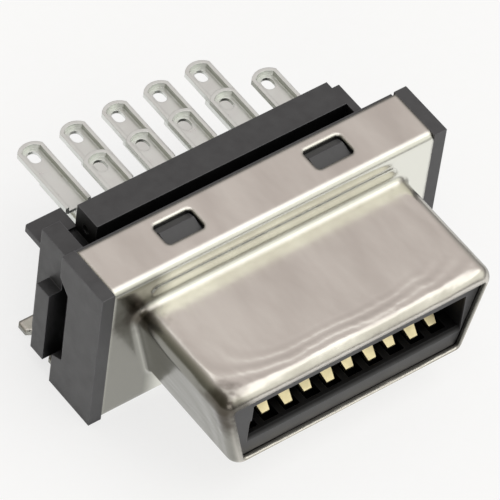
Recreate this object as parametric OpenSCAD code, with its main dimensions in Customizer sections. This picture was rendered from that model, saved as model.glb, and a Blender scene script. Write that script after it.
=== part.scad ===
// Shielded vertical receptacle: a drawn metal shell with a D-shaped hood, a slotted insulator,
// two rows of bowed spring contacts and a rear holder from which channel-shaped wire tails stand out.
// Millimetres. The origin is where the plug axis crosses the front face of the flange:
// X runs along the rows, -Y points out of the hood towards the plug, +Z is up.

/* [Contact rows] */
// Spacing of neighbouring contacts in a row
pitch = 1.27; // [1.2:0.01:1.4]
// Contacts in each of the two rows
row_count = 10; // [6:2:14]
// Distance from the plug axis to the flat part of each row
row_z = 1.25; // [1.22:0.01:1.4]
// Thickness of the contact strip
strip_t = 0.2; // [0.15:0.01:0.25]
// Width of the spring beam in the slot
beam_w = 0.66; // [0.5:0.01:0.75]
// Width of the spring beam at its tip
tip_w = 0.46; // [0.3:0.01:0.5]
// Length of the tapered tip
tip_taper = 0.5; // [0.3:0.05:0.6]
// How far the nearer tips lie behind the insulator face
tip_depth = 0.78; // [0.6:0.02:1.1]
// How much further back every second tip lies
tip_stagger = 0.14; // [0:0.02:0.3]
// How far the beam bows from its row towards the plug axis
bow_height = 0.6; // [0.4:0.02:0.7]
// Bend radius at the crown of the bow
bow_r = 1.2; // [0.8:0.1:1.6]
// Slope of the beam between its tip and the crown
bow_front_angle = 35; // [25:1:40]
// Slope of the beam between the crown and the row
bow_back_angle = 20; // [15:1:28]

/* [Wire tails] */
// Width of the channel-shaped tail
tail_w = 1.5; // [1.2:0.05:1.7]
// Height of the tail's side walls, with its floor
tail_h = 0.5; // [0.4:0.02:0.7]
// Outside radius along the tail's folded edges
tail_fold_r = 0.26; // [0.2:0.02:0.3]
// Radius of the rounded tail end
tail_end_r = 0.95; // [0.9:0.05:1.2]
// How far the upper row's tails stand to the left of their spring beams
tail_shift = 0.32; // [0.2:0.01:0.33]
// How far the long tails stand out behind the holder
long_tail = 6.2; // [5:0.1:8]
// How far the short tails stand out behind the holder
short_tail = 2.65; // [2:0.05:3.5]
// Length of the folded channel on a long tail
channel_len = 4.5; // [3.5:0.1:4.8]
// Offset of the short tails outwards from their row
tail_rise = 2.1; // [1.9:0.05:2.2]
// Inside-to-outside bend radius of the offset, at mid thickness
jog_r = 0.3; // [0.25:0.01:0.35]
// Width of the plain shank between beam and tail
shank_w = 0.84; // [0.78:0.02:0.9]
// Width of the wire eye
eye_w = 0.62; // [0.5:0.02:0.8]
// Length of the wire eye
eye_len = 0.8; // [0.7:0.05:1.2]
// Distance from the tail end to the middle of the eye
eye_inset = 0.78; // [0.75:0.01:1.4]

/* [Slot and nose] */
// Height of the plug slot
slot_h = 2.2; // [2.1:0.05:2.4]
// Depth of the plug slot
slot_depth = 5.6; // [5:0.1:6]
// From the last contact's centre to the end of the slot
slot_margin = 1.02; // [0.98:0.02:1.2]
// Insulator wall above and below the slot
slot_wall = 1.3; // [1.2:0.05:1.6]
// Insulator wall beside the slot, at mid height
end_wall = 0.56; // [0.5:0.02:0.8]
// Bevel along the slot mouth
mouth_bevel = 0.22; // [0.1:0.02:0.25]
// Solid band between the slot mouth and the contact grooves
groove_setback = 0.45; // [0.35:0.05:0.5]
// Depth of the contact grooves in the slot walls
groove_depth = 0.5; // [0.45:0.05:0.6]
// Free width on each side of a contact in its groove
groove_gap = 0.11; // [0.05:0.01:0.12]
// Thickness of the coding rib at the slot's left end
rib_t = 0.5; // [0.3:0.02:0.6]
// How much thicker the coding rib is above its step
rib_step_t = 0.12; // [0.06:0.02:0.16]
// From the slot's top down to the step in the coding rib
rib_step_z = 0.85; // [0.5:0.05:1.2]

/* [Shell] */
// Sheet thickness of the shell
metal = 0.3; // [0.25:0.01:0.35]
// Outside radius where the flange bends into the top and bottom leaves
bend_r = 0.45; // [0.4:0.01:0.6]
// Length of the hood in front of the flange
hood_len = 7.25; // [6.8:0.05:8]
// Slope of the hood's sides from upright
side_angle = 14.2; // [10:0.1:16]
// Outside corner radius of the hood
corner_r = 0.75; // [0.75:0.01:0.9]
// Gap between insulator and hood
hood_gap = 0.05; // [0.02:0.01:0.08]
// Bend radius of the front lip, at mid thickness
lip_r = 0.6; // [0.5:0.05:0.7]
// How far the front lip turns inwards
lip_turn = 0.54; // [0.5:0.02:0.6]
// Flat steps that the front lip's bend is drawn with
lip_steps = 6; // [4:1:8]
// Outside radius in the root between flange and hood
root_r = 0.35; // [0.2:0.05:0.5]
// Overall height of the shell
shell_h = 9.4; // [9.2:0.05:10.2]
// Flange beside the hood, at mid height
rim_x = 1.94; // [1.8:0.02:2.6]
// Depth of the top and bottom leaves
leaf_depth = 3.17; // [3:0.02:3.3]
// Thickness of the stiffening bead on the flange
bead_t = 0.08; // [0.04:0.01:0.12]
// Height of the bead
bead_h = 0.7; // [0.5:0.05:0.8]
// How far the bead's ends stay inside the hood's widest corners
bead_inset = 1; // [0.5:0.05:2]
// Width of the latch windows
window_w = 2.26; // [1.8:0.02:2.4]
// Length of the latch windows
window_len = 1.42; // [1.2:0.02:1.5]
// From the flange's front face to the latch windows
window_y = 1.2; // [1.1:0.05:1.3]
// From the shell's ends to the middle of the latch windows
window_inset = 5.1; // [4:0.1:5.5]
// Corner cut of the latch windows
window_cut = 0.16; // [0.1:0.02:0.3]
// Width of the ground tabs behind the bottom leaf
tab_w = 1.3; // [1:0.05:1.6]
// How far the ground tabs reach behind the bottom leaf
tab_len = 3.78; // [3.4:0.02:4.5]
// How far the ground tabs stand wider than the shell
tab_step = 0.1; // [0.04:0.02:0.2]
// Length of the ground tab's head behind its waist
tab_head = 0.7; // [0.5:0.05:1]
// Depth of the ground tab's waist in its outer edge
tab_waist = 0.3; // [0.1:0.05:0.5]
// Gap between the ground tab and the side plate
tab_gap = 0.1; // [0.04:0.01:0.15]

/* [Insulator body] */
// How far the insulator's face lies behind the hood's front edge
face_inset = 0.35; // [0.33:0.01:0.5]
// Thickness of the side plates
plate_t = 0.75; // [0.6:0.02:1]
// Depth of the side plates
plate_depth = 3.32; // [3.3:0.01:3.4]
// Depth of the notch behind each side plate
notch_depth = 0.76; // [0.3:0.02:0.8]
// Lower end of the notch, from the plate's foot
notch_low = 2; // [1.2:0.1:2.5]
// Upper end of the notch, from the plate's head
notch_high = 1.5; // [1:0.1:2.5]
// Rear face of the body behind the flange's front face
body_depth = 3.5; // [3.5:0.05:3.7]
// Height of the latch ramps above the body
latch_h = 0.24; // [0.15:0.01:0.28]
// Gap on each side of a latch ramp in its window
latch_gap = 0.1; // [0.05:0.01:0.2]
// Running gap between moulding and sheet
seat_gap = 0.02; // [0.01:0.01:0.04]

/* [Rear holder] */
// Groove between the body and the holder's bars
groove_y = 0.83; // [0.6:0.01:0.9]
// Thickness of the holder behind the groove
bar_t = 1.65; // [1.6:0.05:2]
// Plastic above the short tails
bar_cover = 0.35; // [0.1:0.01:0.4]
// From the outer tail's edge to the bar's end
bar_margin = 1.06; // [0.9:0.02:1.2]
// Depth of the groove's floor below the bar's top
groove_floor = 1.2; // [0.9:0.05:1.4]
// Thickness of the wall that closes the groove's right end
end_wall_t = 0.42; // [0.3:0.02:0.6]
// How far the end wall stops short of the bar's rear face
end_wall_step = 0.45; // [0.3:0.05:0.7]
// Thickness of the side arms
arm_t = 1.05; // [0.8:0.05:1.2]
// From the body's rear face to the front of the side arms
arm_gap = 0.5; // [0.4:0.05:0.6]
// Depth of the side arms
arm_depth = 1.95; // [1.6:0.05:2]
// Top of the left arm above the plug axis
left_arm_top = 3.6; // [3:0.05:3.9]
// Top of the right arm above the plug axis
right_arm_top = 0.2; // [-0.5:0.05:0.2]
// From the top of each arm down to the top of the web between it and the bar
web_drop = 1.2; // [1.1:0.05:1.4]
// Foot of the arms above the shell's underside
arm_foot = 0.92; // [0.6:0.02:1]
// Width of the hook strips
hook_w = 1.35; // [1.3:0.05:1.6]
// Depth of the hook strips
hook_depth = 1; // [0.8:0.05:1.1]
// Top of the hook strips above the plug axis
hook_top = 1; // [0.6:0.05:1.2]
// Thickness of the ear behind the left arm
ear_t = 0.35; // [0.3:0.05:0.6]
// Top of the ear above the plug axis
ear_top = 2.55; // [2:0.05:3]
// How far the ear reaches behind the arm
ear_len = 1.35; // [1:0.05:1.6]
// How far the ear reaches past the arm towards the tails
ear_reach = 1.1; // [0.8:0.05:1.1]
// Cut of the ear's outer corner
ear_cut = 0.1; // [0.05:0.01:0.3]
// Radius of the ejector mark on the bar's left end
dimple_r = 0.24; // [0.2:0.02:0.4]
// Depth of the ejector mark
dimple_depth = 0.08; // [0.05:0.01:0.2]
// From the bar's top down to the middle of the ejector mark
dimple_inset = 1; // [0.6:0.05:1.5]
// Play between contact and holder
fit_gap = 0.02; // [0.01:0.01:0.04]

/* [Hidden] */
$fn = 48;
eps = 0.01;

row_half = (row_count - 1) / 2 * pitch;
rows = [for (i = [0:row_count - 1]) i];
upper_names = [for (i = rows) str("upper_contact_", i + 1)];
lower_names = [for (i = rows) str("lower_contact_", i + 1)];

// Hood: the core is the polygon of its corner centres, and its rounds are turned about them
hood_half_h = slot_h / 2 + slot_wall + hood_gap + metal;
slot_half_w = row_half + slot_margin;
hood_half_w = slot_half_w + end_wall + (hood_gap + metal) / cos(side_angle);
core_half_h = hood_half_h - corner_r;
core_half_w = hood_half_w - corner_r / cos(side_angle);
core_flare = core_half_h * tan(side_angle);
core_points = [
    [core_half_w + core_flare, core_half_h],
    [-core_half_w - core_flare, core_half_h],
    [-core_half_w + core_flare, -core_half_h],
    [core_half_w - core_flare, -core_half_h]
];

// Shell box and body
mouth_r = corner_r - lip_turn;
lip_centre = corner_r - metal / 2 - lip_r;
lip_start = hood_len - lip_bend(1) * sin(lip_reach(1));
root_steps = 3;
shell_half_h = shell_h / 2;
shell_half_w = hood_half_w + rim_x;
body_half_h = shell_half_h - metal - seat_gap;
body_half_w = shell_half_w;
window_x = shell_half_w - window_inset;
face_y = face_inset - hood_len;
face_reach = -face_y - lip_start;
nose_r = corner_r - metal - hood_gap;
nose_front_r = lip_centre + sqrt(pow(lip_bend(-1), 2) - pow(face_reach, 2)) - hood_gap;
slot_end_y = face_y + slot_depth;

// Holder
bar_front_y = body_depth + groove_y;
bar_rear_y = bar_front_y + bar_t;
short_z = row_z + tail_rise;
bar_half_h = short_z - strip_t / 2 + tail_h + bar_cover;
bar_half_w = row_half + tail_w / 2 + bar_margin;
neck_half_h = bar_half_h - groove_floor;
arm_outer_x = shell_half_w;
arm_inner_x = arm_outer_x - arm_t;
arm_front_y = body_depth + arm_gap;
arm_rear_y = arm_front_y + arm_depth;
hook_outer_x = shell_half_w + plate_t;
hook_inner_x = hook_outer_x - hook_w;
hook_rear_y = arm_front_y + hook_depth;
arm_foot_z = -shell_half_h + arm_foot;
jog_y = (bar_front_y + bar_rear_y) / 2 - jog_r;
jog_turn = 90;

// Box between two opposite corners
module block(low, high) {
    translate(low) cube(high - low);
}

// Turns a flat (y, z) outline into a bar of the given width, centred on x
module along_x(width) {
    rotate([90, 0, 90]) translate([0, 0, -width / 2]) linear_extrude(width) children();
}

// Prism of the rounded D outline whose corners have the given radius, from one depth to another
module d_prism(front, rear, r) {
    rotate([90, 0, 0]) translate([0, 0, -rear]) linear_extrude(rear - front) {
        polygon(core_points);
        for (i = [0:3]) {
            side = core_points[(i + 1) % 4] - core_points[i];
            translate(core_points[i]) {
                circle(r);
                rotate(atan2(side[1], side[0])) translate([0, -r]) square([norm(side), 2 * r]);
            }
        }
    }
}

// Bend radius of the lip's outer (side = 1) or inner (side = -1) surface
function lip_bend(side) = lip_r + side * metal / 2;

// Angle that this surface turns through, to just past the edge of the mouth
function lip_reach(side) = acos((mouth_r - 2 * eps - lip_centre) / lip_bend(side));

// One surface of the hood from behind the flange to the mouth, as (distance from core, forwards)
function hood_profile(side) = concat(
    [[0, -metal + min(side, 0) * eps], [lip_centre + lip_bend(side), -metal + min(side, 0) * eps]],
    [for (i = [0:lip_steps]) let (a = lip_reach(side) * i / lip_steps)
        [lip_centre + lip_bend(side) * cos(a), lip_start + lip_bend(side) * sin(a)]],
    [[0, lip_start + lip_bend(side) * sin(lip_reach(side))]]
);

// Solid inside the hood's outer (side = 1) or inner (side = -1) surface
module hood_solid(side) {
    hull() for (p = core_points)
        translate([p[0], 0, p[1]]) rotate([90, 0, 0]) rotate_extrude() polygon(hood_profile(side));
}

// Point on the root's concave round, as (distance from the hood's wall, forwards)
function root_point(i) = root_r * [1 - sin(90 * i / root_steps), 1 - cos(90 * i / root_steps)];

// One flat step of the root's concave round, as a cone round the hood that runs into flange and wall
module root_cone(i) {
    low = root_point(i);
    high = root_point(i + 1);
    lean = (low[0] - high[0]) / (high[1] - low[1]);
    wide_r = corner_r + low[0] + (low[1] + metal / 2) * lean;
    narrow_r = corner_r - metal / 2;
    hull() for (p = core_points) translate([p[0], metal / 2, p[1]]) rotate([90, 0, 0])
        cylinder(h = (wide_r - narrow_r) / lean, r1 = wide_r, r2 = narrow_r);
}

// Drawn hood with its lip and root
module hood() {
    difference() {
        union() {
            hood_solid(1);
            for (i = [0:root_steps - 1]) root_cone(i);
        }
        hood_solid(-1);
        d_prism(-hood_len - eps, -lip_start, mouth_r);
    }
}

// Section of the flange with its top and bottom leaves, as (y, z)
module box_section() {
    inner_r = bend_r - metal;
    difference() {
        union() {
            translate([bend_r, -shell_half_h]) square([leaf_depth - bend_r, 2 * shell_half_h]);
            translate([0, -shell_half_h + bend_r]) square([bend_r, 2 * (shell_half_h - bend_r)]);
            for (s = [-1, 1]) translate([bend_r, s * (shell_half_h - bend_r)]) circle(bend_r);
        }
        translate([bend_r, -shell_half_h + metal]) square([leaf_depth, 2 * (shell_half_h - metal)]);
        translate([metal, -shell_half_h + bend_r]) square([bend_r, 2 * (shell_half_h - bend_r)]);
        for (s = [-1, 1]) translate([bend_r, s * (shell_half_h - bend_r)]) circle(inner_r);
    }
}

// Outline of a latch window or latch, with cut corners, about its own middle
module cut_rectangle(w, l, cut) {
    polygon([
        [-w / 2 + cut, -l / 2], [w / 2 - cut, -l / 2], [w / 2, -l / 2 + cut], [w / 2, l / 2 - cut],
        [w / 2 - cut, l / 2], [-w / 2 + cut, l / 2], [-w / 2, l / 2 - cut], [-w / 2, -l / 2 + cut]
    ]);
}

// Stiffening bead on the flange beside the hood's wide top (way = 1) or its narrow bottom (way = -1)
module flange_bead(way) {
    half = hood_half_w + way * hood_half_h * tan(side_angle) - bead_inset;
    mid_z = way * (hood_half_h + root_r + bead_h / 2);
    translate([0, 0, mid_z]) rotate([90, 0, 0]) translate([0, 0, -eps]) linear_extrude(bead_t + eps) {
        square([2 * half - bead_h, bead_h], center = true);
        for (s = [-1, 1]) translate([s * (half - bead_h / 2), 0]) circle(bead_h / 2);
    }
}

// One ground tab behind the bottom leaf, on the right: a broad foot, a waist and a head
module ground_tab() {
    outer = shell_half_w + tab_step;
    inner = outer - tab_w;
    neck_outer = shell_half_w - tab_waist;
    waist_outer = outer - tab_waist;
    foot_y = plate_depth + tab_gap;
    waist_y = arm_front_y + 2 * tab_waist;
    end_y = leaf_depth + tab_len;
    head_y = end_y - tab_head;
    cut = tab_step;
    translate([0, 0, -shell_half_h]) linear_extrude(metal) polygon([
        [inner, leaf_depth - eps], [neck_outer, leaf_depth - eps], [neck_outer, foot_y], [outer, foot_y],
        [outer, waist_y - tab_waist], [waist_outer, waist_y], [waist_outer, head_y - tab_waist / 2],
        [outer, head_y], [outer, end_y - cut], [outer - cut, end_y], [inner + cut, end_y], [inner, end_y - cut]
    ]);
}

// Drawn and folded shell in one piece
module shell() {
    color("#b9b1a9") {
        difference() {
            along_x(2 * shell_half_w) box_section();
            d_prism(-eps, metal + eps, corner_r - metal / 2);
            for (s = [-1, 1]) for (m = [0, 1]) mirror([0, 0, m])
                translate([s * window_x, window_y + window_len / 2, shell_half_h - metal - eps])
                    linear_extrude(metal + 2 * eps) cut_rectangle(window_w, window_len, window_cut);
        }
        hood();
        for (way = [-1, 1]) flange_bead(way);
        for (m = [0, 1]) mirror([m, 0, 0]) ground_tab();
    }
}

// Section of the body inside the shell, as (y, z), with its front edges cut to clear the shell's bends
module body_section() {
    front = metal + seat_gap;
    cut = bend_r - metal;
    polygon([
        [front, cut - body_half_h], [front + cut, -body_half_h], [body_depth, -body_half_h],
        [body_depth, body_half_h], [front + cut, body_half_h], [front, body_half_h - cut]
    ]);
}

// Latch ramp above the body, as a (y, z) outline: it rises rearwards to a crest and drops behind it
module latch_section() {
    front_y = window_y + latch_gap / 2;
    rear_y = window_y + window_len - latch_gap;
    crest_y = (front_y + 2 * rear_y) / 3;
    polygon([
        [front_y, body_half_h - eps], [crest_y, body_half_h + latch_h],
        [rear_y, body_half_h + latch_h / 3], [rear_y, body_half_h - eps]
    ]);
}

// Side plate on the right, with the notch behind it
module side_plate() {
    foot = -shell_half_h;
    head = shell_half_h;
    notch_y = plate_depth - notch_depth;
    translate([shell_half_w, 0, 0]) rotate([90, 0, 90]) linear_extrude(plate_t) polygon([
        [0, foot], [plate_depth, foot], [plate_depth, foot + notch_low],
        [notch_y, foot + notch_low + notch_depth / 2], [notch_y, head - notch_high - notch_depth],
        [plate_depth, head - notch_high], [plate_depth, head], [0, head]
    ]);
}

// Grooves and passages for one contact of the upper row
module contact_way(x) {
    groove_w = beam_w + 2 * groove_gap;
    translate([x, 0, 0]) {
        block([-groove_w / 2, face_y + groove_setback, slot_h / 2 - eps],
              [groove_w / 2, slot_end_y, slot_h / 2 + groove_depth]);
        block([-beam_w / 2 - fit_gap, slot_end_y - eps, row_z - strip_t / 2 - fit_gap],
              [beam_w / 2 + fit_gap, body_depth + eps, row_z + strip_t / 2 + fit_gap]);
    }
}

// Slot with its bevelled mouth
module plug_slot() {
    block([-slot_half_w, face_y - eps, -slot_h / 2], [slot_half_w, slot_end_y, slot_h / 2]);
    for (m = [0, 1]) mirror([0, 0, m]) along_x(2 * slot_half_w) polygon([
        [face_y - eps, 0], [face_y - eps, slot_h / 2 + mouth_bevel + eps],
        [face_y + mouth_bevel, slot_h / 2], [face_y + mouth_bevel, 0]
    ]);
}

// Coding rib at the slot's left end, thicker above its step
module coding_rib() {
    foot_z = -slot_h / 2 - mouth_bevel;
    block([-slot_half_w - eps, face_y, foot_z], [-slot_half_w + rib_t, slot_end_y + eps, slot_h / 2 + mouth_bevel]);
    block([-slot_half_w - eps, face_y, slot_h / 2 - rib_step_z],
          [-slot_half_w + rib_t + rib_step_t, slot_end_y + eps, slot_h / 2 + mouth_bevel]);
}

// Moulded insulator: nose, body inside the shell, side plates and latch ramps
module insulator() {
    color("#3a3a3c") {
        difference() {
            union() {
                d_prism(face_y, -lip_start, nose_front_r);
                d_prism(-lip_start, body_depth / 2, nose_r);
                along_x(2 * body_half_w) body_section();
                for (m = [0, 1]) mirror([m, 0, 0]) side_plate();
                for (s = [-1, 1]) for (m = [0, 1]) mirror([0, 0, m])
                    translate([s * window_x, 0, 0]) along_x(window_w - 2 * latch_gap) latch_section();
            }
            plug_slot();
            for (m = [0, 180]) rotate([0, m, 0]) for (i = rows) contact_way(i * pitch - row_half);
        }
        coding_rib();
    }
}

// Flat strip that follows [straight length, bend radius, bend angle] steps from the origin along x
module bent_strip(steps, t, i = 0) {
    if (i < len(steps)) {
        run = steps[i][0];
        r = steps[i][1];
        turn = steps[i][2];
        way = sign(turn);
        translate([0, -t / 2]) square([run, t]);
        translate([run, 0]) {
            if (turn != 0) translate([0, way * r]) ring_sector(r, turn, t);
            translate([r * sin(abs(turn)), way * r * (1 - cos(turn))]) rotate(turn) bent_strip(steps, t, i + 1);
        }
    }
}

// Bend of a strip about the origin, starting below it for a left turn and above it for a right turn
module ring_sector(r, turn, t) {
    start = turn > 0 ? -90 : 90;
    reach = 2 * (r + t);
    intersection() {
        difference() {
            circle(r + t / 2);
            circle(r - t / 2);
        }
        polygon([
            [0, 0], reach * [cos(start), sin(start)],
            reach * [cos(start + turn / 2), sin(start + turn / 2)], reach * [cos(start + turn), sin(start + turn)]
        ]);
    }
}

// Spring beam from its tip to the body's rear face, as a (y, z) outline about the tip
function beam_steps(tip_y) =
    let (
        drop = bow_height - bow_r * (1 - cos(bow_front_angle)),
        back_drop = bow_height - 2 * bow_r * (1 - cos(bow_back_angle)),
        front_run = drop / sin(bow_front_angle),
        back_run = back_drop / sin(bow_back_angle),
        bowed = front_run * cos(bow_front_angle) + bow_r * sin(bow_front_angle)
            + 2 * bow_r * sin(bow_back_angle) + back_run * cos(bow_back_angle)
    )
    [
        [front_run, bow_r, bow_front_angle + bow_back_angle],
        [back_run, bow_r, -bow_back_angle],
        [body_depth - tip_y - bowed + eps, 0, 0]
    ];

// Shank from the body's rear face to the holder's rear face, offset outwards for a short tail
function shank_steps(offset) =
    offset == 0
        ? [[bar_rear_y + long_tail - channel_len - body_depth + eps, 0, 0]]
        : [[jog_y - body_depth, jog_r, jog_turn], [offset - 2 * jog_r, jog_r, -jog_turn], [strip_t, 0, 0]];

// Where the folded channel of a tail begins
function channel_start(is_long) = is_long ? bar_rear_y + long_tail - channel_len : jog_y + 2 * jog_r;

// End of a tail
function tail_end(is_long) = bar_rear_y + (is_long ? long_tail : short_tail);

// Section of the folded tail's outside, or of its inside one strip thickness further in
module channel_section(inset) {
    half = tail_w / 2 - inset;
    low = inset - strip_t / 2;
    fold_r = tail_fold_r - inset;
    translate([-half, low + fold_r]) square([2 * half, tail_h]);
    translate([fold_r - half, low]) square([2 * (half - fold_r), tail_h]);
    for (s = [-1, 1]) translate([s * (half - fold_r), low + fold_r]) circle(fold_r);
}

// Outside or inside of a tail: its section along y, cut to the outline with the rounded end
module channel_solid(start, end, inset) {
    side = tail_w / 2 - inset;
    round_y = end - tail_end_r;
    intersection() {
        translate([0, end, 0]) rotate([90, 0, 0]) linear_extrude(end - start) channel_section(inset);
        translate([0, 0, -strip_t]) linear_extrude(2 * tail_h) {
            translate([0, round_y]) circle(tail_end_r - inset);
            translate([-side - eps, start - eps]) square([2 * (side + eps), round_y - start]);
        }
    }
}

// Folded tail with a rim round its end and its wire eye, from start to end along y
module tail(start, end) {
    rim_z = tail_h - strip_t / 2;
    difference() {
        channel_solid(start, end, 0);
        channel_solid(start - eps, end, strip_t);
        translate([0, end / 2, rim_z + tail_h]) cube([2 * tail_w, 2 * end, 2 * tail_h], center = true);
        translate([0, end - eye_inset, -strip_t]) linear_extrude(2 * strip_t) {
            square([eye_w, eye_len - eye_w], center = true);
            for (s = [-1, 1]) translate([0, s * (eye_len - eye_w) / 2]) circle(eye_w / 2);
        }
    }
}

// Space that narrows the spring beam to its tip
module tip_outline(tip_y) {
    translate([0, 0, -row_z]) linear_extrude(3 * row_z) polygon([
        [-tip_w / 2, tip_y - eps], [tip_w / 2, tip_y - eps], [beam_w / 2, tip_y + tip_taper],
        [beam_w / 2, body_depth + eps], [-beam_w / 2, body_depth + eps], [-beam_w / 2, tip_y + tip_taper]
    ]);
}

// One contact of the upper row at its own x, with its tail shifted to the left
module contact(x, is_long, shift) {
    tip_y = face_y + tip_depth + (is_long ? tip_stagger : 0);
    offset = is_long ? 0 : tail_rise;
    color("#d9c27a") translate([x, 0, 0]) {
        intersection() {
            translate([0, tip_y, row_z]) along_x(beam_w) rotate(-bow_front_angle)
                bent_strip(beam_steps(tip_y), strip_t);
            tip_outline(tip_y);
        }
        translate([0, body_depth, row_z]) along_x(shank_w) bent_strip(shank_steps(offset), strip_t);
        translate([-shift, 0, row_z + offset]) tail(channel_start(is_long), tail_end(is_long));
    }
}

// Contact of the upper row, counted from the left: every second one has a long tail
module upper_contact(i) {
    contact(i * pitch - row_half, i % 2 == 0, tail_shift);
}

// Contact of the lower row, turned half round the plug axis and counted from the left, with its tail straight
module lower_contact(i) {
    rotate([0, 180, 0]) contact(row_half - i * pitch, i % 2 == 1, 0);
}

// Space in the holder for one contact of the upper row, with its tail shifted to the left
module shank_way(i, shift) {
    is_long = i % 2 == 0;
    offset = is_long ? 0 : tail_rise;
    start = channel_start(is_long);
    way_t = strip_t + 2 * fit_gap;
    way_w = shank_w + 2 * fit_gap;
    way_side = tail_w / 2 + fit_gap;
    translate([i * pitch - row_half, 0, 0]) {
        translate([0, body_depth - eps, row_z]) along_x(way_w) bent_strip(shank_steps(offset), way_t);
        if (!is_long) block([-way_side - shift, start - fit_gap, short_z - strip_t / 2 - fit_gap],
            [way_side - shift, bar_rear_y + eps, short_z - strip_t / 2 + tail_h + fit_gap]);
    }
}

// Side arm with its hook strip, on the right
module side_arm(top) {
    block([arm_inner_x, arm_front_y, arm_foot_z], [arm_outer_x, arm_rear_y, top]);
    block([hook_inner_x, arm_front_y, arm_foot_z], [hook_outer_x, hook_rear_y, hook_top]);
    block([bar_half_w - eps, bar_front_y, arm_foot_z], [arm_inner_x + eps, arm_rear_y, top - web_drop]);
}

// Ear behind the left arm, with its outer corner cut
module ear() {
    outer = -arm_outer_x;
    inner = -arm_inner_x + ear_reach;
    rear = arm_rear_y + ear_len;
    translate([0, 0, ear_top - ear_t]) linear_extrude(ear_t) polygon([
        [outer, arm_rear_y - eps], [inner, arm_rear_y - eps], [inner, rear],
        [outer + ear_cut, rear], [outer, rear - ear_cut]
    ]);
}

// Moulded rear holder: bars, neck, side arms, ear and end wall
module rear_holder() {
    color("#434345") difference() {
        union() {
            block([-bar_half_w, body_depth, -neck_half_h], [bar_half_w, bar_front_y + eps, neck_half_h]);
            block([-bar_half_w, bar_front_y, -bar_half_h], [bar_half_w, bar_rear_y, bar_half_h]);
            block([bar_half_w - eps, body_depth, -neck_half_h],
                  [bar_half_w + end_wall_t, bar_rear_y - end_wall_step, bar_half_h]);
            side_arm(right_arm_top);
            mirror([1, 0, 0]) side_arm(left_arm_top);
            ear();
        }
        for (i = rows) {
            shank_way(i, tail_shift);
            rotate([0, 180, 0]) shank_way(i, 0);
        }
        translate([-bar_half_w, (bar_front_y + bar_rear_y) / 2, bar_half_h - dimple_inset])
            rotate([0, 90, 0]) translate([0, 0, -eps]) cylinder(r = dimple_r, h = dimple_depth + eps);
    }
}

shell();
insulator();
rear_holder();
for (i = rows) upper_contact(i);
for (i = rows) lower_contact(i);
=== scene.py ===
import logging
from dataclasses import dataclass
from enum import Enum
from typing import Any, Optional

import bpy
from mathutils import Matrix, Vector


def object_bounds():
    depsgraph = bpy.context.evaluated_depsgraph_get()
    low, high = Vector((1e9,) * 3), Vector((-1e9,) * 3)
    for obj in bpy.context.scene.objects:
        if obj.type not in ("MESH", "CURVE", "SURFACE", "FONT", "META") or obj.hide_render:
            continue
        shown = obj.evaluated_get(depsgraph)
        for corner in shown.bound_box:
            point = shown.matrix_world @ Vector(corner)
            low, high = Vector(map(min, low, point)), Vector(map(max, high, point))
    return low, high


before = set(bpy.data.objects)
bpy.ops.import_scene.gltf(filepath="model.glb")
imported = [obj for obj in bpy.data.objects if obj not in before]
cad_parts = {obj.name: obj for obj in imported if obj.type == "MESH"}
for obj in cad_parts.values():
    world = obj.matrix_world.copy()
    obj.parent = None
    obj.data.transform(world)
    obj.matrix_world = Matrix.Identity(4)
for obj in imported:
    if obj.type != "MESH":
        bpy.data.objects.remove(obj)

Span = tuple[float, float]
Point = tuple[float, float, float]

LOG = logging.getLogger("receptacle")
MM = 0.001
CAD_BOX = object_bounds()
# A Mix node's colour sockets go by number, because their names repeat
MIX_A, MIX_B, MIX_RESULT = 6, 7, 2
# Most values of a noise lie between these two
NOISE_SPAN: Span = (0.3, 0.7)


def linear(hex_colour: str) -> tuple[float, float, float, float]:
    """Turn an sRGB hex colour into linear light.

    Args:
        hex_colour: The colour as six hex digits after a hash sign.

    Returns:
        Linear red, green and blue with an alpha of 1.
    """
    out = []
    for i in (1, 3, 5):
        c = int(hex_colour[i:i + 2], 16) / 255
        out.append(c / 12.92 if c <= 0.04045 else ((c + 0.055) / 1.055) ** 2.4)
    return out[0], out[1], out[2], 1.0


def per_mm(size_mm: float) -> float:
    """Give the pattern scale at which one feature is size_mm wide, as coordinates are in metres."""
    return 1.0 / (size_mm * MM)


def to_metres(sizes_mm: tuple[float, ...]) -> tuple[float, ...]:
    """Turn millimetres into the scene's metres."""
    return tuple(size * MM for size in sizes_mm)


def add_node(
    tree: bpy.types.NodeTree,
    kind: str,
    settings: Optional[dict[Any, Any]] = None,
    links: Optional[dict[Any, Any]] = None,
) -> bpy.types.Node:
    """Add one shader node with its settings and incoming links.

    Args:
        tree: The node tree to add to.
        kind: The node's type name.
        settings: Values by attribute name, or by input name or number. The stops of a colour ramp
            are pairs of a place from 0 to 1 and a hex colour, in order. From and To are the
            two ends of a range.
        links: Output sockets by the input name or number that they feed.

    Returns:
        The new node.
    """
    node = tree.nodes.new(kind)
    for name, value in (settings or {}).items():
        if name == "stops":
            elements = node.color_ramp.elements
            for i, (place, colour) in enumerate(value):
                element = elements[i] if i < len(elements) else elements.new(place)
                element.position, element.color = place, linear(colour)
        elif name in ("From", "To"):
            for end, limit in zip(("Min", "Max"), value):
                node.inputs[f"{name} {end}"].default_value = limit
        elif isinstance(name, str) and hasattr(node, name):
            setattr(node, name, value)
        else:
            node.inputs[name].default_value = value
    for name, socket in (links or {}).items():
        tree.links.new(socket, node.inputs[name])
    return node


class Plating(Enum):
    """Metal coatings on the connector's contacts, with their base colours."""

    GOLD = "#ECDFB6"
    TIN = "#DFE1DD"


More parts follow.
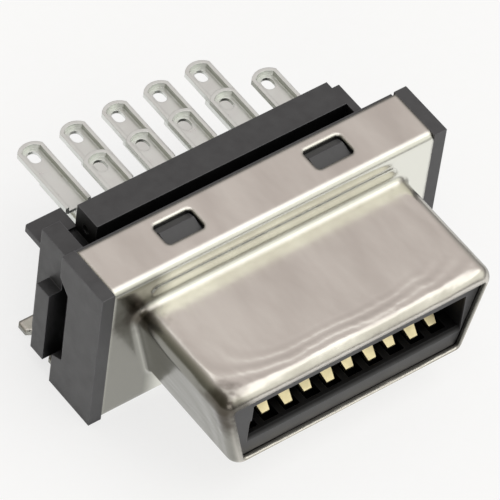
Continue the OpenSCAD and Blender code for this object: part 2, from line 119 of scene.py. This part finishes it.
@dataclass(frozen=True)
class Finish:
    """What every finish has: a name in the maker's words."""

    name: str

    def start(self) -> tuple[bpy.types.Material, bpy.types.NodeTree, Any, Any]:
        """Make a node material with only its shader.

        Returns:
            The material, its tree, its shader and the Object coordinates.
        """
        material = bpy.data.materials.new(self.name)
        material.use_nodes = True
        tree = material.node_tree
        tree.nodes.clear()
        coords = add_node(tree, "ShaderNodeTexCoord")
        shader = add_node(tree, "ShaderNodeBsdfPrincipled")
        add_node(tree, "ShaderNodeOutputMaterial", links={"Surface": shader.outputs["BSDF"]})
        return material, tree, shader, coords.outputs["Object"]


@dataclass(frozen=True)
class DrawRings:
    """Faint rounded rectangles that the drawing punch leaves near the edges of the hood's top."""

    middle_mm: Span = (0.0, -2.6)
    half_mm: Span = (8.4, 4.0)
    # The power of their outline, where 2 would be an ellipse
    squareness: float = 4.0
    wander: float = 0.18
    # Radians of the wave from the middle to the outline
    waves: float = 46.0
    # They come in between these shares of the half sizes, and these places along Y
    near: Span = (0.72, 0.95)
    clear_mm: Span = (-0.8, -1.6)

    def height(self, tree: bpy.types.NodeTree, place: Any, cloud: Any) -> Any:
        """Shape the rings.

        Args:
            tree: The material's tree.
            place: The Object coordinates.
            cloud: A slow noise that makes the rings wander.

        Returns:
            The socket of the rings' height from -1 to 1.
        """
        shift = [-middle / half for middle, half in zip(self.middle_mm, self.half_mm)]
        scale = [per_mm(half) for half in self.half_mm]
        centred = add_node(
            tree, "ShaderNodeMapping", {"Location": (*shift, 0.0), "Scale": (*scale, 0.0)},
            {"Vector": place},
        )
        parts = add_node(tree, "ShaderNodeSeparateXYZ", links={"Vector": centred.outputs["Vector"]})
        powers = []
        for axis in "XY":
            away = add_node(
                tree, "ShaderNodeMath", {"operation": "ABSOLUTE"}, {0: parts.outputs[axis]}
            )
            power = add_node(
                tree, "ShaderNodeMath", {"operation": "POWER", 1: self.squareness},
                {0: away.outputs[0]},
            )
            powers.append(power.outputs[0])
        total = add_node(
            tree, "ShaderNodeMath", {"operation": "ADD"}, {0: powers[0], 1: powers[1]}
        )
        ring = add_node(
            tree, "ShaderNodeMath", {"operation": "POWER", 1: 1 / self.squareness},
            {0: total.outputs[0]},
        )
        wander = add_node(
            tree, "ShaderNodeMath", {"operation": "MULTIPLY_ADD", 1: self.wander},
            {0: cloud, 2: ring.outputs[0]},
        )
        waves = add_node(
            tree, "ShaderNodeMath", {"operation": "MULTIPLY", 1: self.waves}, {0: wander.outputs[0]}
        )
        sine = add_node(tree, "ShaderNodeMath", {"operation": "SINE"}, {0: waves.outputs[0]})
        near = add_node(
            tree, "ShaderNodeMapRange", {"interpolation_type": "SMOOTHSTEP", "From": self.near},
            {"Value": wander.outputs[0]},
        )
        kept = add_node(
            tree, "ShaderNodeMath", {"operation": "MULTIPLY"},
            {0: sine.outputs[0], 1: near.outputs["Result"]},
        )
        # Only the hood's top carries them, in front of the flange
        depth = add_node(tree, "ShaderNodeSeparateXYZ", links={"Vector": place})
        ahead = add_node(
            tree, "ShaderNodeMapRange", {"From": to_metres(self.clear_mm)},
            {"Value": depth.outputs["Y"]},
        )
        top = add_node(
            tree, "ShaderNodeMath", {"operation": "MULTIPLY"},
            {0: kept.outputs[0], 1: ahead.outputs["Result"]},
        )
        return top.outputs[0]


@dataclass(frozen=True)
class ShadePatch:
    """One ragged dark patch of painted shade."""

    middle_mm: Point
    reach_mm: float
    # Shares of the reach: how far the edge strays, and where the patch starts and ends its fading
    ragged: float = 0.9
    fade: Span = (0.6, 1.45)

    def share(self, tree: bpy.types.NodeTree, place: Any, blotch: Any, strength: float) -> Any:
        """Outline the patch.

        Args:
            tree: The material's tree.
            place: The Object coordinates.
            blotch: The noise that makes its edge ragged.
            strength: Its share where it is darkest.

        Returns:
            The socket of its share from 0 to the strength.
        """
        away = add_node(
            tree, "ShaderNodeVectorMath", {"operation": "DISTANCE", 1: to_metres(self.middle_mm)},
            {0: place},
        )
        ragged = add_node(
            tree, "ShaderNodeMath",
            {"operation": "MULTIPLY_ADD", 1: self.ragged * self.reach_mm * MM},
            {0: blotch, 2: away.outputs["Value"]},
        )
        inside = add_node(
            tree, "ShaderNodeMapRange",
            {
                "interpolation_type": "SMOOTHSTEP",
                "From": [share * self.reach_mm * MM for share in self.fade],
                "To": (strength, 0.0),
            },
            {"Value": ragged.outputs[0]},
        )
        return inside.outputs["Result"]


@dataclass(frozen=True)
class NickelPlate(Finish):
    """Bright nickel on drawn and folded steel, which gives a warm and slightly cloudy mirror."""

    light: str = "#DDD9D1"
    dark: str = "#CDC8C0"
    cloud_stops: Span = (0.3, 0.65)
    cloud_mm: float = 2.2
    # The clouds' stretch, and their turn in radians
    smear: Point = (1.0, 0.4, 1.0)
    smear_turn: float = 0.7
    # Painted shade, darker: what faces sideways, the flange's left end and the rounded left edge of
    # the hood's top, with places along X, and for the hood's root along Y
    side: str = "#8E8D86"
    side_tilt: Span = (0.3, 0.8)
    end_mm: Span = (-7.2, -5.0)
    end_shade_share: float = 0.72
    left_edge_mm: Span = (-7.9, -6.7)
    left_edge_shade_share: float = 0.62
    hood_mm: float = -0.8
    # Painted highlight, brighter: the flange's front, with places along Y
    front_highlight: str = "#EAEAE1"
    front_highlight_mm: Span = (-2.0, -1.0)
    # Painted shade: dark patches at the hood's left root and its left front corner
    shade_patch: str = "#453D33"
    shade_patch_strength: float = 0.82
    blotch_mm: float = 0.8
    shade_patches: tuple[ShadePatch, ...] = (
        ShadePatch((-8.3, -0.3, 2.5), 1.7),
        ShadePatch((-8.3, -6.9, 2.5), 2.2),
        ShadePatch((-8.1, -7.2, 1.0), 1.5),
    )
    streak: Point = (1.0, 0.08, 1.0)
    streak_mm: float = 0.35
    roughness: Span = (0.17, 0.25)
    edge_mm: float = 0.28
    wave_depth_mm: float = 0.02
    ring_depth_mm: float = 0.014
    rings: DrawRings = DrawRings()

    def tone(self, tree: bpy.types.NodeTree, place: Any, cloud: Any, normal: Any) -> Any:
        """Colour the plating: clouds, a painted highlight on the flange's front, and painted shade
        on the sideways walls and in dark patches.

        Args:
            tree: The material's tree.
            place: The Object coordinates.
            cloud: The slow noise of the clouds.
            normal: The normal, softened at the rolled edges.

        Returns:
            The socket of the colour.
        """
        base = add_node(
            tree, "ShaderNodeValToRGB", {"stops": zip(self.cloud_stops, (self.dark, self.light))},
            {"Fac": cloud},
        )
        facing = add_node(tree, "ShaderNodeSeparateXYZ", links={"Vector": normal})
        where = add_node(tree, "ShaderNodeSeparateXYZ", links={"Vector": place})
        sideways = add_node(
            tree, "ShaderNodeMath", {"operation": "ABSOLUTE"}, {0: facing.outputs["X"]}
        )
        # The flange's left end, beside the hood, faces forward, where Y is negative
        end = add_node(
            tree, "ShaderNodeMapRange",
            {"From": to_metres(self.end_mm), "To": (-self.end_shade_share, 0.0)},
            {"Value": where.outputs["X"]},
        )
        forward = add_node(
            tree, "ShaderNodeMath", {"operation": "MULTIPLY"},
            {0: facing.outputs["Y"], 1: end.outputs["Result"]},
        )
        # Painted shade darkens the hood's top near its left edge
        left_edge = add_node(
            tree, "ShaderNodeMapRange",
            {"From": to_metres(self.left_edge_mm), "To": (self.left_edge_shade_share, 0.0)},
            {"Value": where.outputs["X"]},
        )
        hood = add_node(
            tree, "ShaderNodeMath", {"operation": "LESS_THAN", 1: self.hood_mm * MM},
            {0: where.outputs["Y"]},
        )
        left_edge_shade = add_node(
            tree, "ShaderNodeMath", {"operation": "MULTIPLY"},
            {0: left_edge.outputs["Result"], 1: hood.outputs[0]},
        )
        tilt = sideways
        for other in (forward, left_edge_shade):
            tilt = add_node(
                tree, "ShaderNodeMath", {"operation": "MAXIMUM"},
                {0: tilt.outputs[0], 1: other.outputs[0]},
            )
        # Painted shade: sideways faces, the flange's left end and the hood's left edge take the
        # darker side colour
        side_shade = add_node(
            tree, "ShaderNodeMapRange",
            {"interpolation_type": "SMOOTHSTEP", "From": self.side_tilt},
            {"Value": tilt.outputs[0]},
        )
        # Painted highlight on the flange's front
        flange = add_node(
            tree, "ShaderNodeMapRange", {"From": to_metres(self.front_highlight_mm), "To": (0.0, -1.0)},
            {"Value": where.outputs["Y"]},
        )
        highlight_share = add_node(
            tree, "ShaderNodeMath", {"operation": "MULTIPLY", "use_clamp": True},
            {0: facing.outputs["Y"], 1: flange.outputs["Result"]},
        )
        blotch = add_node(
            tree, "ShaderNodeTexNoise", {"Scale": per_mm(self.blotch_mm), "Detail": 2.0},
            {"Vector": place},
        )
        layers = [(self.front_highlight, highlight_share.outputs[0]), (self.side, side_shade.outputs["Result"])]
        # Painted shade: ragged dark patches at the hood's left root and its left front corner
        for shade_patch in self.shade_patches:
            share = shade_patch.share(tree, place, blotch.outputs["Fac"], self.shade_patch_strength)
            layers.append((self.shade_patch, share))
        colour = base.outputs["Color"]
        for tint, share in layers:
            mixed = add_node(
                tree, "ShaderNodeMix", {"data_type": "RGBA", MIX_B: linear(tint)},
                {0: share, MIX_A: colour},
            )
            colour = mixed.outputs[MIX_RESULT]
        return colour

    def build(self) -> bpy.types.Material:
        """Build the plating: clouded colour, drawing streaks in the gloss and soft rolled edges.

        Returns:
            The finished material.
        """
        material, tree, shader, place = self.start()
        # Wiping leaves soft smears a few millimetres long, slanted across the faces
        wiped = add_node(
            tree, "ShaderNodeMapping",
            {"Rotation": (0.0, 0.0, self.smear_turn), "Scale": self.smear},
            {"Vector": place},
        )
        clouds = add_node(
            tree, "ShaderNodeTexNoise",
            {"Scale": per_mm(self.cloud_mm), "Detail": 3.0, "Roughness": 0.55},
            {"Vector": wiped.outputs["Vector"]},
        )
        cloud = clouds.outputs["Fac"]
        edge = add_node(tree, "ShaderNodeBevel", {"samples": 8, "Radius": self.edge_mm * MM})
        colour = self.tone(tree, place, cloud, edge.outputs["Normal"])
        tree.links.new(colour, shader.inputs["Base Color"])
        # Drawing leaves streaks along the plug axis, so the pattern is long in Y
        drawn = add_node(tree, "ShaderNodeMapping", {"Scale": self.streak}, {"Vector": place})
        streak = add_node(
            tree, "ShaderNodeTexNoise",
            {"Scale": per_mm(self.streak_mm), "Detail": 4.0, "Roughness": 0.55},
            {"Vector": drawn.outputs["Vector"]},
        )
        gloss = add_node(
            tree, "ShaderNodeMapRange", {"From": NOISE_SPAN, "To": self.roughness},
            {"Value": streak.outputs["Fac"]},
        )
        tree.links.new(gloss.outputs["Result"], shader.inputs["Roughness"])
        # Thin sheet is never quite flat, so its reflections wander
        wave = add_node(
            tree, "ShaderNodeBump", {"Strength": 0.5, "Distance": self.wave_depth_mm * MM},
            {"Height": cloud, "Normal": edge.outputs["Normal"]},
        )
        ringed = add_node(
            tree, "ShaderNodeBump", {"Strength": 0.6, "Distance": self.ring_depth_mm * MM},
            {"Height": self.rings.height(tree, place, cloud), "Normal": wave.outputs["Normal"]},
        )
        tree.links.new(ringed.outputs["Normal"], shader.inputs["Normal"])
        shader.inputs["Metallic"].default_value = 1.0
        return material


@dataclass(frozen=True)
class FilledPlastic(Finish):
    """Black glass-filled PBT, injection moulded, which gives a mottled satin with a fine grain."""

    light: str = "#474749"
    dark: str = "#39393B"
    mottle_mm: float = 0.8
    roughness: Span = (0.38, 0.55)
    specular: float = 0.5
    ior: float = 1.55
    grain_mm: float = 0.09
    grain_depth_mm: float = 0.01
    # Painted highlight, paler: the corners, where the rounded normal leaves the flat one by these
    # cosines
    edge_highlight: str = "#6E6E73"
    edge_mm: float = 0.08
    edge_highlight_cosines: Span = (0.99, 0.88)
    edge_highlight_share: float = 0.8
    # Blacker: what has little sky over it
    shade: str = "#000000"
    deep_mm: float = 3.5
    deep_sky: Span = (0.25, 0.6)
    deep_share: float = 0.15
    # Painted shade, blacker still: what lies behind the nose's face along Y, as far back as the
    # flange
    slot_shade_mm: Span = (-6.88, -6.75)
    slot_shade_share: float = 0.25
    slot_shade_end_mm: float = -0.2

    def open_share(self, tree: bpy.types.NodeTree, place: Any) -> Any:
        """Tell the open faces from the slot and grooves, which get painted shade.

        Args:
            tree: The material's tree.
            place: The Object coordinates.

        Returns:
            The socket of a share that is 1 on open faces and near 0 deep inside.
        """
        sky = add_node(
            tree, "ShaderNodeAmbientOcclusion", {"samples": 8, "Distance": self.deep_mm * MM}
        )
        clear = add_node(
            tree, "ShaderNodeMapRange", {"From": self.deep_sky, "To": (self.deep_share, 1.0)},
            {"Value": sky.outputs["AO"]},
        )
        parts = add_node(tree, "ShaderNodeSeparateXYZ", links={"Vector": place})
        slot_shade = add_node(
            tree, "ShaderNodeMapRange",
            {"From": to_metres(self.slot_shade_mm), "To": (1.0, self.slot_shade_share)},
            {"Value": parts.outputs["Y"]},
        )
        behind = add_node(
            tree, "ShaderNodeMath", {"operation": "GREATER_THAN", 1: self.slot_shade_end_mm * MM},
            {0: parts.outputs["Y"]},
        )
        outside = add_node(
            tree, "ShaderNodeMath", {"operation": "MAXIMUM"},
            {0: slot_shade.outputs["Result"], 1: behind.outputs[0]},
        )
        share = add_node(
            tree, "ShaderNodeMath", {"operation": "MULTIPLY"},
            {0: clear.outputs["Result"], 1: outside.outputs[0]},
        )
        return share.outputs[0]

    def build(self) -> bpy.types.Material:
        """Build the moulding: mottled black, with painted shade in its slots, grain and painted
        highlights on its edges.

        Returns:
            The finished material.
        """
        material, tree, shader, place = self.start()
        mottle = add_node(
            tree, "ShaderNodeTexNoise",
            {"Scale": per_mm(self.mottle_mm), "Detail": 4.0, "Roughness": 0.6},
            {"Vector": place},
        )
        base = add_node(
            tree, "ShaderNodeValToRGB", {"stops": zip(NOISE_SPAN, (self.dark, self.light))},
            {"Fac": mottle.outputs["Fac"]},
        )
        share = self.open_share(tree, place)
        # Painted shade: the slot, grooves and recesses go towards black
        shaded = add_node(
            tree, "ShaderNodeMix", {"data_type": "RGBA", MIX_A: linear(self.shade)},
            {0: share, MIX_B: base.outputs["Color"]},
        )
        # Painted highlight: the corners go paler, where the rounded normal leaves the flat one
        edge = add_node(tree, "ShaderNodeBevel", {"samples": 6, "Radius": self.edge_mm * MM})
        flat = add_node(tree, "ShaderNodeNewGeometry")
        level = add_node(
            tree, "ShaderNodeVectorMath", {"operation": "DOT_PRODUCT"},
            {0: edge.outputs["Normal"], 1: flat.outputs["Normal"]},
        )
        edge_highlight = add_node(
            tree, "ShaderNodeMapRange", {"From": self.edge_highlight_cosines, "To": (0.0, self.edge_highlight_share)},
            {"Value": level.outputs["Value"]},
        )
        reached = add_node(
            tree, "ShaderNodeMath", {"operation": "MULTIPLY"}, {0: edge_highlight.outputs["Result"], 1: share}
        )
        colour = add_node(
            tree, "ShaderNodeMix", {"data_type": "RGBA", MIX_B: linear(self.edge_highlight)},
            {0: reached.outputs[0], MIX_A: shaded.outputs[MIX_RESULT]},
        )
        tree.links.new(colour.outputs[MIX_RESULT], shader.inputs["Base Color"])
        # The painted shade also lowers the gloss in the slot and grooves
        shine = add_node(
            tree, "ShaderNodeMath", {"operation": "MULTIPLY", 1: self.specular}, {0: share}
        )
        tree.links.new(shine.outputs[0], shader.inputs["Specular IOR Level"])
        gloss = add_node(
            tree, "ShaderNodeMapRange", {"From": NOISE_SPAN, "To": self.roughness},
            {"Value": mottle.outputs["Fac"]},
        )
        tree.links.new(gloss.outputs["Result"], shader.inputs["Roughness"])
        grain = add_node(
            tree, "ShaderNodeTexNoise",
            {"Scale": per_mm(self.grain_mm), "Detail": 3.0, "Roughness": 0.6},
            {"Vector": place},
        )
        bump = add_node(
            tree, "ShaderNodeBump", {"Strength": 0.5, "Distance": self.grain_depth_mm * MM},
            {"Height": grain.outputs["Fac"], "Normal": edge.outputs["Normal"]},
        )
        tree.links.new(bump.outputs["Normal"], shader.inputs["Normal"])
        shader.inputs["IOR"].default_value = self.ior
        return material


@dataclass(frozen=True)
class SplitPlating(Finish):
    """Copper-alloy strip with pale warm gold on the spring ends and greyer tin on the tails."""

    gold: Plating = Plating.GOLD
    tin: Plating = Plating.TIN
    split_mm: float = 4.0
    blur_mm: float = 0.3
    cloud_mm: float = 0.5
    cloud_depth_mm: float = 0.008
    roughness: Span = (0.26, 0.46)
    edge_mm: float = 0.04

    def build(self) -> bpy.types.Material:
        """Build the strip: gold to the front and tin to the back, with a slightly clouded gloss.

        Returns:
            The finished material.
        """
        material, tree, shader, place = self.start()
        parts = add_node(tree, "ShaderNodeSeparateXYZ", links={"Vector": place})
        split = (self.split_mm - self.blur_mm, self.split_mm + self.blur_mm)
        side = add_node(
            tree, "ShaderNodeMapRange", {"From": to_metres(split)}, {"Value": parts.outputs["Y"]}
        )
        colour = add_node(
            tree, "ShaderNodeMix",
            {
                "data_type": "RGBA",
                MIX_A: linear(self.gold.value),
                MIX_B: linear(self.tin.value),
            },
            {0: side.outputs["Result"]},
        )
        tree.links.new(colour.outputs[MIX_RESULT], shader.inputs["Base Color"])
        cloud = add_node(
            tree, "ShaderNodeTexNoise",
            {"Scale": per_mm(self.cloud_mm), "Detail": 4.0, "Roughness": 0.6},
            {"Vector": place},
        )
        gloss = add_node(
            tree, "ShaderNodeMapRange", {"From": NOISE_SPAN, "To": self.roughness},
            {"Value": cloud.outputs["Fac"]},
        )
        tree.links.new(gloss.outputs["Result"], shader.inputs["Roughness"])
        edge = add_node(tree, "ShaderNodeBevel", {"samples": 6, "Radius": self.edge_mm * MM})
        bump = add_node(
            tree, "ShaderNodeBump", {"Strength": 0.3, "Distance": self.cloud_depth_mm * MM},
            {"Height": cloud.outputs["Fac"], "Normal": edge.outputs["Normal"]},
        )
        tree.links.new(bump.outputs["Normal"], shader.inputs["Normal"])
        shader.inputs["Metallic"].default_value = 1.0
        return material


@dataclass(frozen=True)
class Paper(Finish):
    """Matt white paper, which looks white to the camera and keeps the object's shadow."""

    white: str = "#FFFFFF"
    fibre: str = "#FDFDFC"
    fibre_mm: float = 0.5
    roughness: float = 0.9
    specular: float = 0.1
    bleach: float = 0.72

    def build(self) -> bpy.types.Material:
        """Build the paper, bleached where the camera or a reflection sees it.

        Returns:
            The finished material.
        """
        material, tree, shader, place = self.start()
        fibre = add_node(
            tree, "ShaderNodeTexNoise", {"Scale": per_mm(self.fibre_mm), "Detail": 3.0},
            {"Vector": place},
        )
        paper = add_node(
            tree, "ShaderNodeValToRGB", {"stops": zip(NOISE_SPAN, (self.fibre, self.white))},
            {"Fac": fibre.outputs["Fac"]},
        )
        tree.links.new(paper.outputs["Color"], shader.inputs["Base Color"])
        shader.inputs["Roughness"].default_value = self.roughness
        shader.inputs["Specular IOR Level"].default_value = self.specular
        # A share below 1 leaves the shadow in
        path = add_node(tree, "ShaderNodeLightPath")
        seen = path.outputs["Is Camera Ray"]
        for ray in ("Is Glossy Ray", "Is Transmission Ray"):
            total = add_node(
                tree, "ShaderNodeMath", {"operation": "ADD", "use_clamp": True},
                {0: seen, 1: path.outputs[ray]},
            )
            seen = total.outputs[0]
        share = add_node(
            tree, "ShaderNodeMath", {"operation": "MULTIPLY", 1: self.bleach}, {0: seen}
        )
        plain = add_node(
            tree, "ShaderNodeEmission", {"Color": linear(self.white), "Strength": 1.0}
        )
        mixed = add_node(
            tree, "ShaderNodeMixShader",
            links={0: share.outputs[0], 1: shader.outputs["BSDF"], 2: plain.outputs["Emission"]},
        )
        output = tree.get_output_node("ALL")
        tree.links.new(mixed.outputs["Shader"], output.inputs["Surface"])
        return material


def dress(node: str, material: bpy.types.Material) -> None:
    """Give one CAD node its finish.

    Args:
        node: The node's name.
        material: The finish for its whole surface.
    """
    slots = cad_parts[node].data.materials
    slots.clear()
    slots.append(material)
    LOG.info("%s: dressed in %s", node, material.name)


@dataclass
class Shell:
    """The drawn hood with its flange, leaves and ground tabs."""

    finish: NickelPlate = NickelPlate("bright nickel on drawn steel")

    def build(self) -> None:
        """Dress the shell."""
        dress("shell", self.finish.build())


@dataclass
class Mouldings:
    """The slotted insulator and the slightly darker holder behind it."""

    insulator: FilledPlastic = FilledPlastic("black glass-filled moulding")
    holder: FilledPlastic = FilledPlastic("black holder moulding", light="#404042", dark="#323234")

    def build(self) -> None:
        """Dress both mouldings."""
        dress("insulator", self.insulator.build())
        dress("rear_holder", self.holder.build())


@dataclass
class Contacts:
    """Two rows of contact strips."""

    count: int = 10
    finish: SplitPlating = SplitPlating("gold and tin on copper-alloy strip")

    def build(self) -> None:
        """Dress every contact in one shared finish."""
        material = self.finish.build()
        for row in ("upper", "lower"):
            for i in range(1, self.count + 1):
                dress(f"{row}_contact_{i}", material)


@dataclass(frozen=True)
class SoftBox:
    """One square lamp that faces the connector, with its place and side in metres and its watts."""

    name: str
    place: Point
    side: float
    power: float

    def build(self) -> None:
        """Hang the lamp."""
        data = bpy.data.lights.new(self.name, "AREA")
        data.shape = "SQUARE"
        data.size = self.side
        data.energy = self.power
        lamp = bpy.data.objects.new(self.name, data)
        bpy.context.scene.collection.objects.link(lamp)
        place = Vector(self.place)
        lamp.location = place
        lamp.rotation_euler = (-place).to_track_quat("-Z", "Y").to_euler()


@dataclass(frozen=True)
class WallPatch:
    """One soft patch on the studio's walls, with the cosines at which it starts and is full."""

    colour: str
    aim: Point
    reach: Span

    def share(self, tree: bpy.types.NodeTree, way: Any) -> Any:
        """Measure how closely a world direction points at the patch.

        Args:
            tree: The world's tree.
            way: The socket of the direction looked in.

        Returns:
            The socket of a smooth value from 0 to 1.
        """
        dot = add_node(
            tree, "ShaderNodeVectorMath",
            {"operation": "DOT_PRODUCT", 1: Vector(self.aim).normalized()}, {0: way},
        )
        near = add_node(
            tree, "ShaderNodeMapRange", {"interpolation_type": "SMOOTHSTEP", "From": self.reach},
            {"Value": dot.outputs["Value"]},
        )
        return near.outputs["Result"]


@dataclass
class Studio:
    """Paper floor, soft lamps and the walls round them, paler overhead."""

    floor_side: float = 1.2
    paper: Paper = Paper("matt white paper")
    lamps: tuple[SoftBox, ...] = (
        SoftBox("overhead", (0.06, -0.04, 0.38), 0.4, 0.42),
        SoftBox("right front", (0.15, -0.3, 0.26), 0.4, 0.05),
        SoftBox("left front", (-0.22, -0.32, 0.16), 0.2, 0.19),
    )
    walls: tuple[tuple[float, str], ...] = (
        (0.0, "#7C7B79"), (0.4, "#B4B2AF"), (0.76, "#DFD7D6"), (1.0, "#E6E4E3"),
    )
    # A white board in front and a greyer side at the left rear
    patches: tuple[WallPatch, ...] = (
        WallPatch("#F4F4EA", (0.42, -0.56, 0.7), (0.76, 0.96)),
        WallPatch("#9A988C", (-0.9, 0.3, 0.25), (0.2, 0.9)),
    )
    strength: float = 1.0

    def build_floor(self) -> None:
        """Lay the paper floor under the connector's lowest point."""
        bpy.ops.object.select_all(action="DESELECT")
        low = CAD_BOX[0][2]
        bpy.ops.mesh.primitive_plane_add(size=self.floor_side, location=(0.0, 0.0, low))
        floor = bpy.context.object
        floor.name = "floor"
        bpy.ops.object.transform_apply(location=True, rotation=True, scale=True)
        floor.data.materials.append(self.paper.build())

    def build_walls(self) -> None:
        """Make the world as the studio's walls, by height and with their patches."""
        world = bpy.data.worlds.new("studio")
        bpy.context.scene.world = world
        world.use_nodes = True
        tree = world.node_tree
        tree.nodes.clear()
        way = add_node(tree, "ShaderNodeTexCoord").outputs["Generated"]
        parts = add_node(tree, "ShaderNodeSeparateXYZ", links={"Vector": way})
        walls = add_node(
            tree, "ShaderNodeValToRGB", {"stops": self.walls}, {"Fac": parts.outputs["Z"]}
        )
        colour = walls.outputs["Color"]
        for patch in self.patches:
            mixed = add_node(
                tree, "ShaderNodeMix", {"data_type": "RGBA", MIX_B: linear(patch.colour)},
                {0: patch.share(tree, way), MIX_A: colour},
            )
            colour = mixed.outputs[MIX_RESULT]
        soft = add_node(
            tree, "ShaderNodeBackground", {"Strength": self.strength}, {"Color": colour}
        )
        add_node(tree, "ShaderNodeOutputWorld", links={"Surface": soft.outputs["Background"]})

    def build(self) -> None:
        """Build floor, walls and lamps."""
        self.build_floor()
        self.build_walls()
        for lamp in self.lamps:
            lamp.build()


@dataclass
class ViewCamera:
    """The photograph's camera, fitted to the connector's straight edges and contact spacing."""

    place_mm: Point = (-124.938948, -133.5077, 216.120364)
    right: Point = (0.801163959, -0.591005349, 0.094069062)
    down: Point = (-0.40482024, -0.650980533, -0.642140887)
    ahead: Point = (0.440745827, 0.476379075, -0.760793069)
    focal_px: float = 5819.5
    frame_px: float = 500.0
    # The fit counts pixel centres, which puts its middle half a pixel off the frame's
    centre_px: float = 0.5
    sensor_mm: float = 36.0
    clip: Span = (0.01, 10.0)

    def build(self) -> None:
        """Add the camera and make it the scene's."""
        data = bpy.data.cameras.new("photo view")
        data.sensor_width = self.sensor_mm
        data.lens = self.focal_px / self.frame_px * self.sensor_mm
        data.shift_x = -self.centre_px / self.frame_px
        data.shift_y = self.centre_px / self.frame_px
        data.clip_start, data.clip_end = self.clip
        camera = bpy.data.objects.new("photo view", data)
        bpy.context.scene.collection.objects.link(camera)
        axes = (self.right, [-v for v in self.down], [-v for v in self.ahead])
        turn = Matrix(axes).transposed()
        camera.matrix_world = Matrix.Translation(Vector(self.place_mm) * MM) @ turn.to_4x4()
        bpy.context.scene.camera = camera
        LOG.info("camera: lens %.1f mm", data.lens)


def main() -> None:
    """Dress the connector, set up the studio and the camera, and report each piece."""
    logging.basicConfig(level=logging.INFO, format="%(message)s")
    bpy.context.scene.view_settings.view_transform = "Standard"
    ViewCamera().build()
    Shell().build()
    Mouldings().build()
    Contacts().build()
    Studio().build()


if __name__ == "__main__":
    main()
